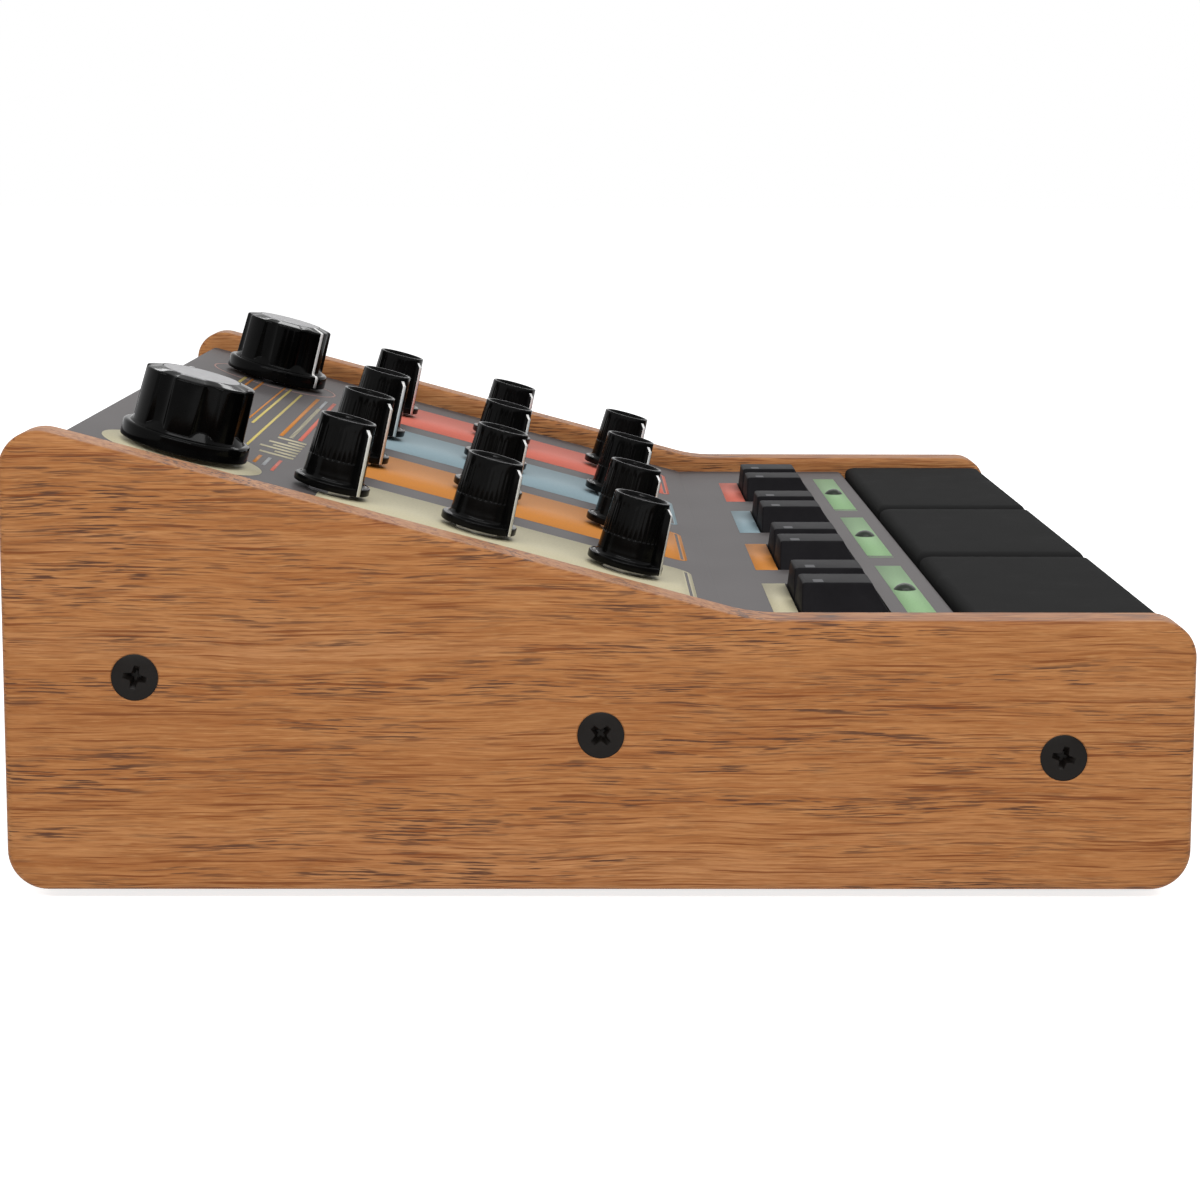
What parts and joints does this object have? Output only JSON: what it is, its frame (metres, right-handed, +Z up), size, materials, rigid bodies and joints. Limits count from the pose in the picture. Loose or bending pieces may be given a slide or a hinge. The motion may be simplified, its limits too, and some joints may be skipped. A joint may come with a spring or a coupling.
{
  "type": "effects processor",
  "caption": "Desktop audio effects processor with wooden cheeks, sloping control panel with turning knobs, paired keys, lamps and a row of wide rubber pads",
  "frame": {"origin": "centre of the footprint, on the surface that the feet stand on", "axes": "+Z up, the user in front at -Y, X across with the user's left at -X"},
  "size_m": [0.292, 0.235, 0.1028],
  "materials": {
    "cheek_wood": "satin lacquer",
    "cover_paint": "fine textured satin",
    "tray_paint": "matte",
    "black_steel": "satin",
    "foot_rubber": "matte",
    "circuit_board": "satin",
    "spacer_brass": "satin",
    "pot_metal": "brushed",
    "switch_plastic": "matte",
    "lamp_lens": "gloss",
    "sensor_sheet": "matte",
    "jack_plastic": "satin",
    "nut_metal": "bright",
    "knob_plastic": "satin",
    "large_knob_plastic": "gloss",
    "insert_metal": "satin",
    "shaft_metal": "satin",
    "key_plastic": "semi-gloss",
    "pad_rubber": "matte"
  },
  "bodies": {
    "case": {"left_cheek": "cheek_wood", "right_cheek": "cheek_wood", "top_cover": "cover_paint", "base_tray": "tray_paint", "cheek_screws": "black_steel", "base_screws": "black_steel", "rubber_feet": "foot_rubber", "main_board": "circuit_board", "key_board": "circuit_board", "board_spacers": "spacer_brass", "potentiometers": "pot_metal", "pot_nuts": "pot_metal", "key_switches": "switch_plastic", "lamps": "lamp_lens", "pad_sensors": "sensor_sheet", "input_jack": "jack_plastic", "output_jack": "jack_plastic", "jack_nuts": "nut_metal", "power_inlet": "jack_plastic"},
    "front_knob_1": {"front_knob_1": "knob_plastic", "front_shaft_1": "shaft_metal"},
    "front_knob_2": {"front_knob_2": "knob_plastic", "front_shaft_2": "shaft_metal"},
    "front_knob_3": {"front_knob_3": "knob_plastic", "front_shaft_3": "shaft_metal"},
    "front_knob_4": {"front_knob_4": "knob_plastic", "front_shaft_4": "shaft_metal"},
    "middle_knob_1": {"middle_knob_1": "knob_plastic", "middle_shaft_1": "shaft_metal"},
    "middle_knob_2": {"middle_knob_2": "knob_plastic", "middle_shaft_2": "shaft_metal"},
    "middle_knob_3": {"middle_knob_3": "knob_plastic", "middle_shaft_3": "shaft_metal"},
    "middle_knob_4": {"middle_knob_4": "knob_plastic", "middle_shaft_4": "shaft_metal"},
    "rear_knob_1": {"rear_knob_1": "knob_plastic", "rear_shaft_1": "shaft_metal"},
    "rear_knob_2": {"rear_knob_2": "knob_plastic", "rear_shaft_2": "shaft_metal"},
    "rear_knob_3": {"rear_knob_3": "knob_plastic", "rear_shaft_3": "shaft_metal"},
    "rear_knob_4": {"rear_knob_4": "knob_plastic", "rear_shaft_4": "shaft_metal"},
    "left_large_knob": {"left_large_knob": "large_knob_plastic", "left_large_shaft": "shaft_metal", "left_knob_insert": "insert_metal"},
    "right_large_knob": {"right_large_knob": "large_knob_plastic", "right_large_shaft": "shaft_metal", "right_knob_insert": "insert_metal"},
    "key_1": {"key_1": "key_plastic"},
    "key_2": {"key_2": "key_plastic"},
    "key_3": {"key_3": "key_plastic"},
    "key_4": {"key_4": "key_plastic"},
    "key_5": {"key_5": "key_plastic"},
    "key_6": {"key_6": "key_plastic"},
    "key_7": {"key_7": "key_plastic"},
    "key_8": {"key_8": "key_plastic"},
    "pad_1": {"pad_1": "pad_rubber"},
    "pad_2": {"pad_2": "pad_rubber"},
    "pad_3": {"pad_3": "pad_rubber"}
  },
  "joints": [
    {"name": "front_knob_1_turn", "type": "hinge", "parent": "case", "child": "front_knob_1", "pos_m": [-0.09, -0.0052, 0.05824], "axis": [0, -0.2587, 0.966], "range_deg": [-308, 2]},
    {"name": "front_knob_2_turn", "type": "hinge", "parent": "case", "child": "front_knob_2", "pos_m": [-0.03, -0.0052, 0.05824], "axis": [0, -0.2587, 0.966], "range_deg": [-296, 14]},
    {"name": "front_knob_3_turn", "type": "hinge", "parent": "case", "child": "front_knob_3", "pos_m": [0.03, -0.0052, 0.05824], "axis": [0, -0.2587, 0.966], "range_deg": [-288, 22]},
    {"name": "front_knob_4_turn", "type": "hinge", "parent": "case", "child": "front_knob_4", "pos_m": [0.09, -0.0052, 0.05824], "axis": [0, -0.2587, 0.966], "range_deg": [-287, 23]},
    {"name": "middle_knob_1_turn", "type": "hinge", "parent": "case", "child": "middle_knob_1", "pos_m": [-0.09, 0.0264, 0.06671], "axis": [0, -0.2587, 0.966], "range_deg": [-296, 14]},
    {"name": "middle_knob_2_turn", "type": "hinge", "parent": "case", "child": "middle_knob_2", "pos_m": [-0.03, 0.0264, 0.06671], "axis": [0, -0.2587, 0.966], "range_deg": [-297, 13]},
    {"name": "middle_knob_3_turn", "type": "hinge", "parent": "case", "child": "middle_knob_3", "pos_m": [0.03, 0.0264, 0.06671], "axis": [0, -0.2587, 0.966], "range_deg": [-292, 18]},
    {"name": "middle_knob_4_turn", "type": "hinge", "parent": "case", "child": "middle_knob_4", "pos_m": [0.09, 0.0264, 0.06671], "axis": [0, -0.2587, 0.966], "range_deg": [-290, 20]},
    {"name": "rear_knob_1_turn", "type": "hinge", "parent": "case", "child": "rear_knob_1", "pos_m": [-0.09, 0.058, 0.07517], "axis": [0, -0.2587, 0.966], "range_deg": [-289, 21]},
    {"name": "rear_knob_2_turn", "type": "hinge", "parent": "case", "child": "rear_knob_2", "pos_m": [-0.03, 0.058, 0.07517], "axis": [0, -0.2587, 0.966], "range_deg": [-294, 16]},
    {"name": "rear_knob_3_turn", "type": "hinge", "parent": "case", "child": "rear_knob_3", "pos_m": [0.03, 0.058, 0.07517], "axis": [0, -0.2587, 0.966], "range_deg": [-286, 24]},
    {"name": "rear_knob_4_turn", "type": "hinge", "parent": "case", "child": "rear_knob_4", "pos_m": [0.09, 0.058, 0.07517], "axis": [0, -0.2587, 0.966], "range_deg": [-294, 16]},
    {"name": "left_large_knob_turn", "type": "hinge", "parent": "case", "child": "left_large_knob", "pos_m": [-0.09, 0.0896, 0.08363], "axis": [0, -0.2587, 0.966], "range_deg": [-82, 228]},
    {"name": "right_large_knob_turn", "type": "hinge", "parent": "case", "child": "right_large_knob", "pos_m": [0.09, 0.0896, 0.08363], "axis": [0, -0.2587, 0.966], "range_deg": [-298, 12]},
    {"name": "key_1_press", "type": "slide", "parent": "case", "child": "key_1", "axis": [0, 0, -1], "range_m": [0, 0.0015], "stiffness_N_per_m": 300, "springref_m": -0.001},
    {"name": "key_2_press", "type": "slide", "parent": "case", "child": "key_2", "axis": [0, 0, -1], "range_m": [0, 0.0015], "stiffness_N_per_m": 300, "springref_m": -0.001},
    {"name": "key_3_press", "type": "slide", "parent": "case", "child": "key_3", "axis": [0, 0, -1], "range_m": [0, 0.0015], "stiffness_N_per_m": 300, "springref_m": -0.001},
    {"name": "key_4_press", "type": "slide", "parent": "case", "child": "key_4", "axis": [0, 0, -1], "range_m": [0, 0.0015], "stiffness_N_per_m": 300, "springref_m": -0.001},
    {"name": "key_5_press", "type": "slide", "parent": "case", "child": "key_5", "axis": [0, 0, -1], "range_m": [0, 0.0015], "stiffness_N_per_m": 300, "springref_m": -0.001},
    {"name": "key_6_press", "type": "slide", "parent": "case", "child": "key_6", "axis": [0, 0, -1], "range_m": [0, 0.0015], "stiffness_N_per_m": 300, "springref_m": -0.001},
    {"name": "key_7_press", "type": "slide", "parent": "case", "child": "key_7", "axis": [0, 0, -1], "range_m": [0, 0.0015], "stiffness_N_per_m": 300, "springref_m": -0.001},
    {"name": "key_8_press", "type": "slide", "parent": "case", "child": "key_8", "axis": [0, 0, -1], "range_m": [0, 0.0015], "stiffness_N_per_m": 300, "springref_m": -0.001},
    {"name": "pad_1_press", "type": "slide", "parent": "case", "child": "pad_1", "axis": [0, 0, -1], "range_m": [0, 0.0006], "stiffness_N_per_m": 3000, "springref_m": -0.0003},
    {"name": "pad_2_press", "type": "slide", "parent": "case", "child": "pad_2", "axis": [0, 0, -1], "range_m": [0, 0.0006], "stiffness_N_per_m": 3000, "springref_m": -0.0003},
    {"name": "pad_3_press", "type": "slide", "parent": "case", "child": "pad_3", "axis": [0, 0, -1], "range_m": [0, 0.0006], "stiffness_N_per_m": 3000, "springref_m": -0.0003}
  ]
}
